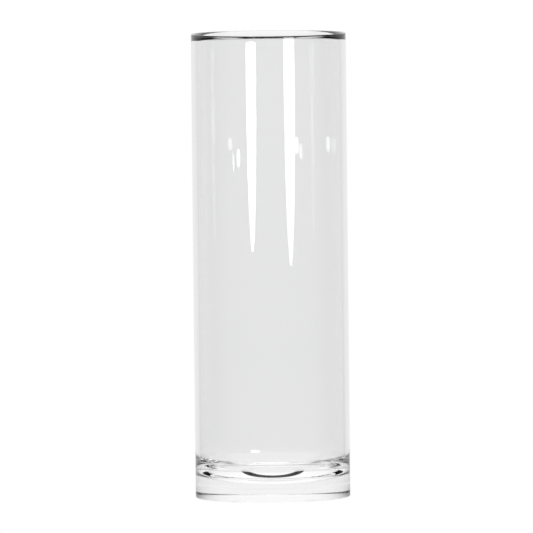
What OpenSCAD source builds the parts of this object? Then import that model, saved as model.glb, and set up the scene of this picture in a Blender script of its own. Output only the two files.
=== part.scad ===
// Straight-sided glass cylinder vase with a heavy base.
// Frame: +Z is up along the axis, and the origin is the centre of the
// standing face. All sizes are in millimetres.

/* [Cylinder] */
// Outside diameter of the vase
outer_d = 100; // [60:1:200]
// Overall height, from the standing face to the top of the rim
vase_h = 300; // [120:5:500]
// Thickness of the straight wall
wall_t = 3.9; // [2.5:0.1:6]

/* [Rim] */
// Radius of the outside edge of the rim
rim_edge_r = 0.6; // [0.3:0.1:1]
// How much taller than it is wide the rounded inside edge of the rim is
rim_lean = 1.2; // [0.4:0.1:4]

/* [Base] */
// Thickness of the solid glass in the middle of the floor
floor_t = 9.2; // [6:0.2:20]
// Height that the bowl-shaped floor would gain from the middle to the wall
floor_dish = 8.2; // [4:0.2:12]
// Radius inside, where the floor turns up into the wall
corner_r = 15; // [8:0.5:20]
// Radius of the outside bottom edge
heel_r = 0.8; // [0.5:0.1:3]

/* [Hidden] */

outer_r = outer_d / 2;
inner_r = outer_r - wall_t;

// Radius of a sphere from the width and the depth of the cap it leaves.
function cap_radius(half_w, depth) = (half_w * half_w + depth * depth) / (2 * depth);

// Rim: the inside edge is an arc tangent to the bore, ending on the top of the outside edge.
tip_x = outer_r - rim_edge_r;
lip_w = tip_x - inner_r;
lip_z = vase_h - lip_w - rim_lean;
lip_r = cap_radius(vase_h - lip_z, lip_w);

// Inside floor: a shallow bowl, and a corner arc tangent to it and to the wall.
dish_r = cap_radius(inner_r, floor_dish);
corner_x = inner_r - corner_r;
dish_z = floor_t + dish_r;
corner_z = dish_z - sqrt(pow(dish_r - corner_r, 2) - pow(corner_x, 2));

// The bowl ends where the line between both arc centres crosses it.
tangent_x = corner_x * dish_r / (dish_r - corner_r);
tangent_z = dish_z + (corner_z - dish_z) * dish_r / (dish_r - corner_r);

arc_fn = 128;
bowl_fn = 720;
overrun = 1;

// Rectangle in the turned section, from radius x0 to x1 and height z0 to z1.
module section_box(x0, x1, z0, z1) {
  translate([x0, z0]) square([x1 - x0, z1 - z0]);
}

// Half outline of the space inside the vase, up to the level of the join.
module floor_section() {
  translate([corner_x, corner_z]) circle(r = corner_r, $fn = arc_fn);
  intersection() {
    translate([0, dish_z]) circle(r = dish_r, $fn = bowl_fn);
    polygon([
      [0, floor_t - overrun],
      [tangent_x, floor_t - overrun],
      [tangent_x, tangent_z],
      [corner_x, corner_z],
      [0, corner_z]
    ]);
  }
}

// The turned foot: a solid disc with its lower outside edge rounded.
module foot_section() {
  section_box(0, outer_r - heel_r, 0, corner_z);
  section_box(0, outer_r, heel_r, corner_z);
  translate([outer_r - heel_r, heel_r]) circle(r = heel_r, $fn = arc_fn);
}

// The rim: a long round on the inside, and a small one on the outside.
module lip_section() {
  intersection() {
    translate([inner_r + lip_r, lip_z]) circle(r = lip_r, $fn = arc_fn);
    section_box(inner_r, tip_x, lip_z, vase_h + overrun);
  }
  section_box(tip_x, outer_r, lip_z, vase_h - rim_edge_r);
  intersection() {
    translate([tip_x, vase_h - rim_edge_r]) circle(r = rim_edge_r, $fn = arc_fn);
    section_box(tip_x, outer_r, vase_h - rim_edge_r, vase_h);
  }
}

// Straight tube, from the level of the join up to the rim.
module cylinder_wall() {
  color([0.86, 0.88, 0.88, 0.45])
    rotate_extrude($fn = arc_fn) {
      section_box(inner_r, outer_r, corner_z, lip_z);
      lip_section();
    }
}

// Thick glass bottom, up to the level where the inside of the wall is straight.
module heavy_base() {
  color([0.78, 0.82, 0.82, 0.6])
    rotate_extrude($fn = arc_fn)
      difference() {
        foot_section();
        floor_section();
      }
}

cylinder_wall();
heavy_base();
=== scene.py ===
"""Clear glass cylinder vase: looks, stage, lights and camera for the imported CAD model."""
import math

import bpy
from mathutils import Matrix, Vector


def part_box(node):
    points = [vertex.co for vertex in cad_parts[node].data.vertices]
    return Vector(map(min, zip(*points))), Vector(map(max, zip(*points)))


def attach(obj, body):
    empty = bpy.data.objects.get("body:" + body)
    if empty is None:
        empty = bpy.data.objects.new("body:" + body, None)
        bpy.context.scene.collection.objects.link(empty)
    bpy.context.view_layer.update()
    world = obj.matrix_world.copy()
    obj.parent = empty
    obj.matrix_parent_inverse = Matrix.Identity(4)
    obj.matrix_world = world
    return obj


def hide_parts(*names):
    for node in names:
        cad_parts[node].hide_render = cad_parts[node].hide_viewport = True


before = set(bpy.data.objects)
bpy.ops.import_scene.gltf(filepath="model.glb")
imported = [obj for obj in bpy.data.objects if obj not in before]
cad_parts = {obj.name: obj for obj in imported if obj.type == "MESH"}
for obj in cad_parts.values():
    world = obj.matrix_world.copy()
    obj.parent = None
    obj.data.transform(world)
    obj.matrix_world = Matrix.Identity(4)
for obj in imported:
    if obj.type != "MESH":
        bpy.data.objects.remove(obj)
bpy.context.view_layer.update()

MM = 0.001

# --- Sizes of the vase, in metres, as in the CAD --------------------------------------

OUTER_R = (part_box("cylinder_wall")[1][0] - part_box("cylinder_wall")[0][0]) / 2
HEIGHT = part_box("cylinder_wall")[1][2]
WALL_T = 3.9 * MM
INNER_R = OUTER_R - WALL_T
FLOOR_T = 9.2 * MM
FLOOR_DISH = 8.2 * MM
CORNER_R = 15.0 * MM
HEEL_R = 0.8 * MM
RIM_OUT_R = 0.6 * MM
RIM_DROP = 4.5 * MM

# --- Camera ---------------------------------------------------------------------------

CAM_DISTANCE = 8.0
CAM_ELEVATION = math.radians(3.3)
CAM_ROLL = math.radians(-0.6)
CAM_AIM = Vector((-0.0027, 0.0, 0.1492))
CAM_LENS = 835.8


def make_camera():
    """A long lens a little above the middle of the vase, rolled by a fraction of a degree."""
    data = bpy.data.cameras.new("camera")
    data.lens = CAM_LENS
    data.sensor_width = 36.0
    data.clip_end = 100.0
    camera = bpy.data.objects.new("camera", data)
    bpy.context.scene.collection.objects.link(camera)
    back = Vector((0.0, -math.cos(CAM_ELEVATION), math.sin(CAM_ELEVATION)))
    turn = back.to_track_quat("Z", "Y").to_matrix().to_4x4()
    roll = Matrix.Rotation(CAM_ROLL, 4, "Z")
    camera.matrix_world = Matrix.Translation(CAM_AIM + back * CAM_DISTANCE) @ turn @ roll
    bpy.context.scene.camera = camera


# --- The vase's turned section --------------------------------------------------------


def arc(cx, cz, radius, start, end, steps):
    """Points on an arc in the (r, z) plane, from angle start to end, in degrees."""
    points = []
    for i in range(steps + 1):
        a = math.radians(start + (end - start) * i / steps)
        points.append((cx + radius * math.cos(a), cz + radius * math.sin(a)))
    return points


def line(start, end, steps):
    """Evenly spaced points between two points, without the ends."""
    reach_x, reach_z = end[0] - start[0], end[1] - start[1]
    shares = [i / steps for i in range(1, steps)]
    return [(start[0] + reach_x * share, start[1] + reach_z * share) for share in shares]


def cap_radius(half_width, depth):
    """Radius of the sphere whose cap is this wide and this deep."""
    return (half_width ** 2 + depth ** 2) / (2 * depth)


def floor_centres():
    """Radius and centre height of the floor's dish, and the centre of the arc tangent to it."""
    dish_r = cap_radius(INNER_R, FLOOR_DISH)
    dish_z = FLOOR_T + dish_r
    corner_x = INNER_R - CORNER_R
    corner_z = dish_z - math.sqrt((dish_r - CORNER_R) ** 2 - corner_x ** 2)
    return dish_r, dish_z, corner_x, corner_z


def section():
    """Outline of the glass in the (r, z) plane, from the axis below to the axis inside."""
    points = [(0.0, 0.0)] + line((0.0, 0.0), (OUTER_R - HEEL_R, 0.0), 8)
    points += arc(OUTER_R - HEEL_R, HEEL_R, HEEL_R, -90.0, 0.0, 16)
    points += line(points[-1], (OUTER_R, HEIGHT - RIM_OUT_R), 96)
    points += arc(OUTER_R - RIM_OUT_R, HEIGHT - RIM_OUT_R, RIM_OUT_R, 0.0, 90.0, 16)
    lip_w = WALL_T - RIM_OUT_R
    lip_r = cap_radius(RIM_DROP, lip_w)
    lean = math.degrees(math.asin(RIM_DROP / lip_r))
    points += arc(INNER_R + lip_r, HEIGHT - RIM_DROP, lip_r, 180.0 - lean, 180.0, 32)[1:]
    dish_r, dish_z, corner_x, corner_z = floor_centres()
    points += line(points[-1], (INNER_R, corner_z), 96)
    swing = math.degrees(math.atan2(corner_x, dish_z - corner_z))
    points += arc(corner_x, corner_z, CORNER_R, 0.0, -90.0 + swing, 32)
    points += arc(0.0, dish_z, dish_r, -90.0 + swing, -90.0, 24)[1:]
    return points


AROUND = 256


def turned_mesh(name, outline):
    """Turns an outline that starts and ends on the axis into a closed mesh."""
    ring = outline[1:-1]
    verts = []
    for r, z in ring:
        for j in range(AROUND):
            a = 2 * math.pi * j / AROUND
            verts.append((r * math.cos(a), r * math.sin(a), z))
    low = len(verts)
    verts.append((0.0, 0.0, outline[0][1]))
    high = len(verts)
    verts.append((0.0, 0.0, outline[-1][1]))
    faces = []
    for j in range(AROUND):
        k = (j + 1) % AROUND
        faces.append((low, k, j))
        for i in range(len(ring) - 1):
            a, b = i * AROUND, (i + 1) * AROUND
            faces.append((a + j, a + k, b + k, b + j))
        last = (len(ring) - 1) * AROUND
        faces.append((last + j, last + k, high))
    mesh = bpy.data.meshes.new(name)
    mesh.from_pydata(verts, [], faces)
    mesh.polygons.foreach_set("use_smooth", [True] * len(mesh.polygons))
    mesh.update()
    return mesh


# --- Shader helpers -------------------------------------------------------------------


def link_value(links, value, socket):
    """Sets a socket to a number, or links it to another socket."""
    if isinstance(value, (int, float)):
        socket.default_value = value
    else:
        links.new(value, socket)


def smooth_step(nodes, links, value, start, end, low, high):
    """A soft step from low at start to high at end."""
    step = nodes.new("ShaderNodeMapRange")
    step.interpolation_type = "SMOOTHSTEP"
    ends = (value, start, end, low, high)
    for name, item in zip(("Value", "From Min", "From Max", "To Min", "To Max"), ends):
        link_value(links, item, step.inputs[name])
    return step.outputs["Result"]


def math_node(nodes, links, operation, first, second):
    """A math node on two numbers or sockets."""
    node = nodes.new("ShaderNodeMath")
    node.operation = operation
    link_value(links, first, node.inputs[0])
    link_value(links, second, node.inputs[1])
    return node.outputs["Value"]


# --- Material -------------------------------------------------------------------------

GLASS_IOR = 1.5
GLASS_GREENER = (0.962, 0.966, 0.964, 1.0)
GLASS_CLEARER = (0.973, 0.973, 0.973, 1.0)
DRIFT_SCALE = 14.0
LEAST_POLISHED = 0.006


def clear_glass():
    """Colourless glass, with the faintest drift in tint and polish over the surface."""
    material = bpy.data.materials.new("vase_clear_glass")
    material.use_nodes = True
    nodes = material.node_tree.nodes
    links = material.node_tree.links
    shader = nodes["Principled BSDF"]
    shader.inputs["IOR"].default_value = GLASS_IOR
    shader.inputs["Transmission Weight"].default_value = 1.0
    place = nodes.new("ShaderNodeTexCoord")
    drift = nodes.new("ShaderNodeTexNoise")
    drift.inputs["Scale"].default_value = DRIFT_SCALE
    drift.inputs["Detail"].default_value = 2.0
    links.new(place.outputs["Object"], drift.inputs["Vector"])
    ramp = nodes.new("ShaderNodeValToRGB")
    ramp.color_ramp.elements[0].position = 0.3
    ramp.color_ramp.elements[0].color = GLASS_GREENER
    ramp.color_ramp.elements[1].position = 0.7
    ramp.color_ramp.elements[1].color = GLASS_CLEARER
    links.new(drift.outputs["Fac"], ramp.inputs["Fac"])
    links.new(ramp.outputs["Color"], shader.inputs["Base Color"])
    dull = smooth_step(nodes, links, drift.outputs["Fac"], 0.55, 0.75, 0.0, LEAST_POLISHED)
    links.new(dull, shader.inputs["Roughness"])
    return material


def make_vase():
    """The whole vase as one piece of glass, since the real one shows no join."""
    vase = bpy.data.objects.new("vase_glass", turned_mesh("vase_glass", section()))
    bpy.context.scene.collection.objects.link(vase)
    vase.data.materials.append(clear_glass())
    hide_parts("cylinder_wall", "heavy_base")
    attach(vase, "root")


# --- Stage ----------------------------------------------------------------------------
#
# A white studio: the sweep behind the vase is lit, and the camera's side of the room is dark.
# Light mirrored in the glass sees both. Light let straight through sees only the sweep.
# Directions to the rear are cosines of the azimuth, from 1 behind the vase to -1 at the camera.
# Directions upward are sines of the elevation.

SWEEP_LEVEL = 0.97

# Mirrored light: the dark side, and the lit rear, which is a little brighter higher up.
ROOM_LEVEL = 0.03
REAR_LEVEL = 0.86
HIGH_LEVEL = 1.08
HIGH_UP = 0.10
REAR_START = 0.05
REAR_FULL = 1.00

# Mirrored light: a bright ceiling.
OVERHEAD_LEVEL = 1.4
OVERHEAD_START = 0.70
OVERHEAD_FULL = 0.85

# Mirrored light: a fill behind the camera, well above its own level.
FILL_LEVEL = 1.0
FILL_START = 0.10
FILL_FULL = -0.25
FILL_LOW = 0.20
FILL_HIGH = 0.32

# Mirrored light: painted light and shade on the table: a painted pool of light under the vase,
# painted shade in an apron round its foot, and a painted shadow in a dark curved band across the
# front.
FLOOR_HALF = 4.0
FLOOR_Z = -0.2 * MM
PAINTED_POOL_LEVEL = 1.08
APRON_SHADE_LEVEL = 0.80
APRON_START = 44.0 * MM
APRON_FULL = 52.0 * MM
UNDER_START = 60.0 * MM
UNDER_END = 80.0 * MM
SHADE_BAND_FRONT = -37.5 * MM
SHADE_BAND_BACK = -28.5 * MM
SHADE_BAND_BEND = 16.0
SHADE_BAND_SOFT = 1.0 * MM

# The bright table is seen in light mirrored this often at most, so the rim keeps its dark line.
MOST_MIRRORED = 2

# Half the width of the soft steps that tell whole numbers of reflections apart.
COUNT_SOFT = 0.1


def past_count(nodes, links, output, count, low, high):
    """Low while an output of the light path is at most a whole number, and high above it."""
    path = nodes.new("ShaderNodeLightPath")
    middle = count + 0.5
    start, end = middle - COUNT_SOFT, middle + COUNT_SOFT
    return smooth_step(nodes, links, path.outputs[output], start, end, low, high)


def seen_level(nodes, links, straight, mirrored, direct):
    """Brightness for light let through, for light mirrored at least once, and for the camera."""
    level = past_count(nodes, links, "Glossy Depth", 0, straight, mirrored)
    return past_count(nodes, links, "Is Camera Ray", 0, level, direct)


def emitter(name):
    """A material that only glows; the caller links or sets its strength."""
    material = bpy.data.materials.new(name)
    material.use_nodes = True
    nodes = material.node_tree.nodes
    nodes.clear()
    nodes.new("ShaderNodeEmission")
    out = nodes.new("ShaderNodeOutputMaterial")
    links = material.node_tree.links
    links.new(nodes["Emission"].outputs["Emission"], out.inputs["Surface"])
    return material, nodes, links


def stage_mesh(name, points, material):
    """A flat piece of the stage, with one face."""
    mesh = bpy.data.meshes.new(name)
    mesh.from_pydata(points, [], [tuple(range(len(points)))])
    piece = bpy.data.objects.new(name, mesh)
    bpy.context.scene.collection.objects.link(piece)
    piece.data.materials.append(material)
    return piece


def floor_under(nodes, links, across, forward, distance):
    """Painted light and shade of the table near the vase, in mirrored light; 0 in the painted
    shadow band.
    """
    bend = math_node(nodes, links, "MULTIPLY", across, across)
    bend = math_node(nodes, links, "MULTIPLY", bend, SHADE_BAND_BEND)
    past = math_node(nodes, links, "ADD", forward, bend)
    back, front = SHADE_BAND_BACK, SHADE_BAND_FRONT
    # The dark curved band is a painted shadow across the front of the vase's foot.
    inner = smooth_step(nodes, links, past, back - SHADE_BAND_SOFT, back + SHADE_BAND_SOFT, 0.0, 1.0)
    outer = smooth_step(nodes, links, past, front - SHADE_BAND_SOFT, front + SHADE_BAND_SOFT, 1.0, 0.0)
    lit = math_node(nodes, links, "MAXIMUM", inner, outer)
    # A painted pool of light under the vase, dimming to painted shade in the apron round its
    # foot.
    apron = (distance, APRON_START, APRON_FULL, PAINTED_POOL_LEVEL, APRON_SHADE_LEVEL)
    level = math_node(nodes, links, "MULTIPLY", smooth_step(nodes, links, *apron), lit)
    near = smooth_step(nodes, links, distance, UNDER_START, UNDER_END, 1.0, 0.0)
    level = math_node(nodes, links, "MULTIPLY", level, near)
    few = past_count(nodes, links, "Glossy Depth", MOST_MIRRORED, 1.0, 0.0)
    return math_node(nodes, links, "MULTIPLY", level, few)


def make_floor():
    """The pale table top, a large flat sheet that glows rather than being lit: white to the
    camera, and in mirrored light with painted shade on the camera's side and painted light
    behind and under the vase.
    """
    material, nodes, links = emitter("floor")
    place = nodes.new("ShaderNodeNewGeometry")
    split = nodes.new("ShaderNodeSeparateXYZ")
    links.new(place.outputs["Position"], split.inputs["Vector"])
    span = nodes.new("ShaderNodeVectorMath")
    span.operation = "LENGTH"
    links.new(place.outputs["Position"], span.inputs[0])
    across, forward, distance = split.outputs["X"], split.outputs["Y"], span.outputs["Value"]
    facing = math_node(nodes, links, "DIVIDE", forward, distance)
    # Painted shade and light: the table glows dark on the camera's side and bright behind the
    # vase.
    rear = smooth_step(nodes, links, facing, REAR_START, REAR_FULL, ROOM_LEVEL, REAR_LEVEL)
    under = floor_under(nodes, links, across, forward, distance)
    mirrored = math_node(nodes, links, "MAXIMUM", rear, under)
    level = seen_level(nodes, links, SWEEP_LEVEL, mirrored, 1.0)
    links.new(level, nodes["Emission"].inputs["Strength"])
    half = FLOOR_HALF
    corners = ((-half, -half), (half, -half), (half, half), (-half, half))
    stage_mesh("floor", [(x, y, FLOOR_Z) for x, y in corners], material)


LIGHT_DISTANCE = 1.0

# Oval lights: name, azimuth in degrees, height of the middle, half width, half height, level,
# and whether the far wall of the vase mirrors the light as well as the near one.
LIGHTS = (
    ("softbox", 29.7, 0.236, 0.145, 0.139, 9.0, True),
    ("lamp_left", -46.2, 0.1752, 0.044, 0.0064, 12.0, True),
    ("lamp_left_far", -54.2, 0.1712, 0.018, 0.0056, 14.0, True),
    ("lamp_left_side", -59.6, 0.1852, 0.060, 0.0048, 3.6, False),
    ("lamp_right", 96.0, 0.1835, 0.080, 0.0056, 3.4, False),
    ("lamp_right_side", 110.0, 0.1820, 0.120, 0.0050, 1.0, False),
)


def make_light(name, azimuth, outline, level, far_wall):
    """A flat light facing the vase, seen only in reflections; its outline is (across, up)."""
    material, nodes, links = emitter(name)
    nodes["Emission"].inputs["Strength"].default_value = level
    mirrored = past_count(nodes, links, "Glossy Depth", 0, 0.0, 1.0)
    near = past_count(nodes, links, "Transmission Depth", 0, 1.0, 0.0)
    far = past_count(nodes, links, "Transmission Depth", 3, 0.0, far_wall)
    walls = math_node(nodes, links, "MAXIMUM", near, far)
    shown = math_node(nodes, links, "MULTIPLY", mirrored, walls)
    clear = nodes.new("ShaderNodeBsdfTransparent")
    mix = nodes.new("ShaderNodeMixShader")
    links.new(shown, mix.inputs["Fac"])
    links.new(clear.outputs["BSDF"], mix.inputs[1])
    links.new(nodes["Emission"].outputs["Emission"], mix.inputs[2])
    links.new(mix.outputs["Shader"], nodes["Material Output"].inputs["Surface"])
    out_x, out_y = math.sin(math.radians(azimuth)), -math.cos(math.radians(azimuth))
    mid_x, mid_y = LIGHT_DISTANCE * out_x, LIGHT_DISTANCE * out_y
    points = [(mid_x - across * out_y, mid_y + across * out_x, up) for across, up in outline]
    light = stage_mesh(name, points, material)
    light.visible_camera = False
    light.visible_shadow = False


def make_lights():
    """A round softbox in front and to the right, and five small lamps."""
    ring = arc(0.0, 0.0, 1.0, 0.0, 355.0, 71)
    for name, azimuth, up, half_w, half_h, level, far_wall in LIGHTS:
        outline = [(half_w * x, up + half_h * y) for x, y in ring]
        make_light(name, azimuth, outline, level, float(far_wall))


def make_world():
    """White to the camera, the sweep through the glass, and the whole room in reflections."""
    world = bpy.data.worlds.new("world")
    bpy.context.scene.world = world
    world.use_nodes = True
    nodes = world.node_tree.nodes
    links = world.node_tree.links
    nodes.clear()
    coord = nodes.new("ShaderNodeTexCoord")
    split = nodes.new("ShaderNodeSeparateXYZ")
    links.new(coord.outputs["Generated"], split.inputs["Vector"])
    upward = split.outputs["Z"]
    square = math_node(nodes, links, "MULTIPLY", upward, upward)
    level_part = math_node(nodes, links, "SUBTRACT", 1.0, square)
    level_part = math_node(nodes, links, "SQRT", level_part, 0.0)
    facing = math_node(nodes, links, "DIVIDE", split.outputs["Y"], level_part)
    rear = smooth_step(nodes, links, upward, 0.0, HIGH_UP, REAR_LEVEL, HIGH_LEVEL)
    behind = smooth_step(nodes, links, facing, REAR_START, REAR_FULL, ROOM_LEVEL, rear)
    over = (upward, OVERHEAD_START, OVERHEAD_FULL, 0.0, OVERHEAD_LEVEL)
    mirrored = math_node(nodes, links, "MAXIMUM", behind, smooth_step(nodes, links, *over))
    fill_side = smooth_step(nodes, links, facing, FILL_FULL, FILL_START, FILL_LEVEL, 0.0)
    fill_up = smooth_step(nodes, links, upward, FILL_LOW, FILL_HIGH, 0.0, 1.0)
    fill = math_node(nodes, links, "MULTIPLY", fill_side, fill_up)
    mirrored = math_node(nodes, links, "MAXIMUM", mirrored, fill)
    level = seen_level(nodes, links, SWEEP_LEVEL, mirrored, 1.0)
    back = nodes.new("ShaderNodeBackground")
    back.inputs["Color"].default_value = (1.0, 1.0, 1.0, 1.0)
    links.new(level, back.inputs["Strength"])
    out = nodes.new("ShaderNodeOutputWorld")
    links.new(back.outputs["Background"], out.inputs["Surface"])


make_camera()
make_vase()
make_floor()
make_lights()
make_world()

# Rays pass many glass surfaces, so they get more bounces than by default.
scene = bpy.context.scene
scene.view_settings.view_transform = "Standard"
scene.cycles.max_bounces = 32
scene.cycles.transmission_bounces = 32
scene.cycles.glossy_bounces = 16
